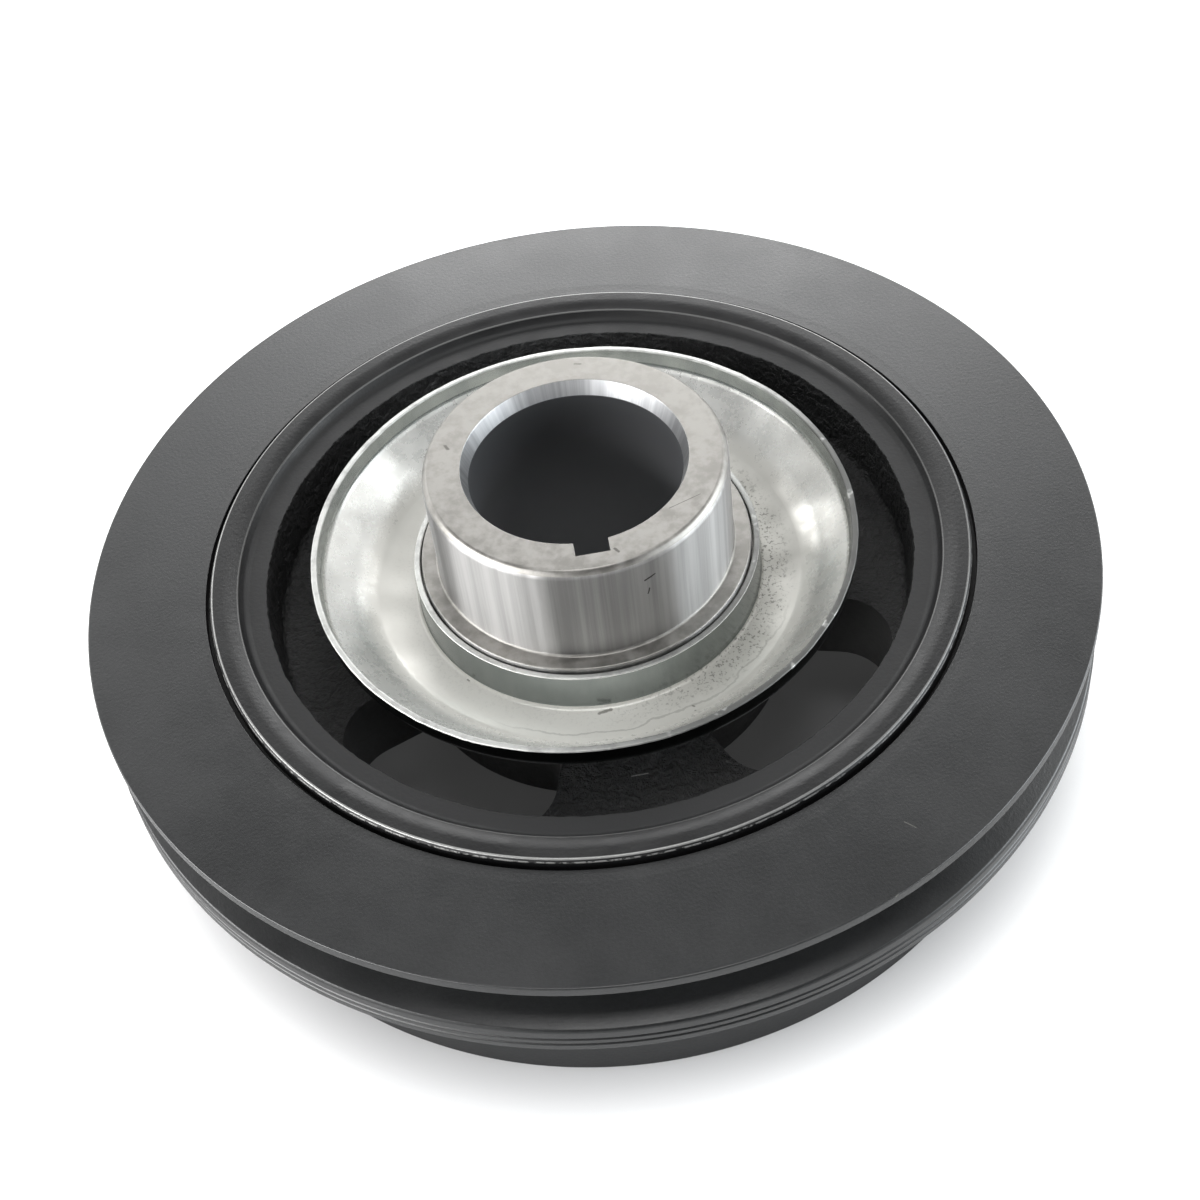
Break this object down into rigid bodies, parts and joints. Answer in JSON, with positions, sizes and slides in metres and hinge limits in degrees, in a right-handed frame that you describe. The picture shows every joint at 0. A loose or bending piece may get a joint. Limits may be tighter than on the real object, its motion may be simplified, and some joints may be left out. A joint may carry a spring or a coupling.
{
  "type": "harmonic balancer",
  "caption": "Round crankshaft vibration damper: a belt-grooved iron ring joined by rubber to a cast hub, with a keyed snout, a seal journal and a pressed dust deflector.",
  "frame": {"origin": "centre of the bore at the level of the ring's front face, the lowest face", "axes": "+Z along the crank axis from the pulley's front face to the engine, -Y through the keyway"},
  "size_m": [0.17, 0.17, 0.0623],
  "materials": {
    "hub_iron": "black coated casting, bare machined snout",
    "ring_iron": "turned, satin black coating",
    "rubber": "matt moulded rubber",
    "zinc_sheet": "zinc plated, semi-gloss"
  },
  "bodies": {
    "root": {"hub": "hub_iron", "pulley_ring": "ring_iron", "rubber_ring": "rubber", "dust_deflector": "zinc_sheet"}
  },
  "joints": []
}
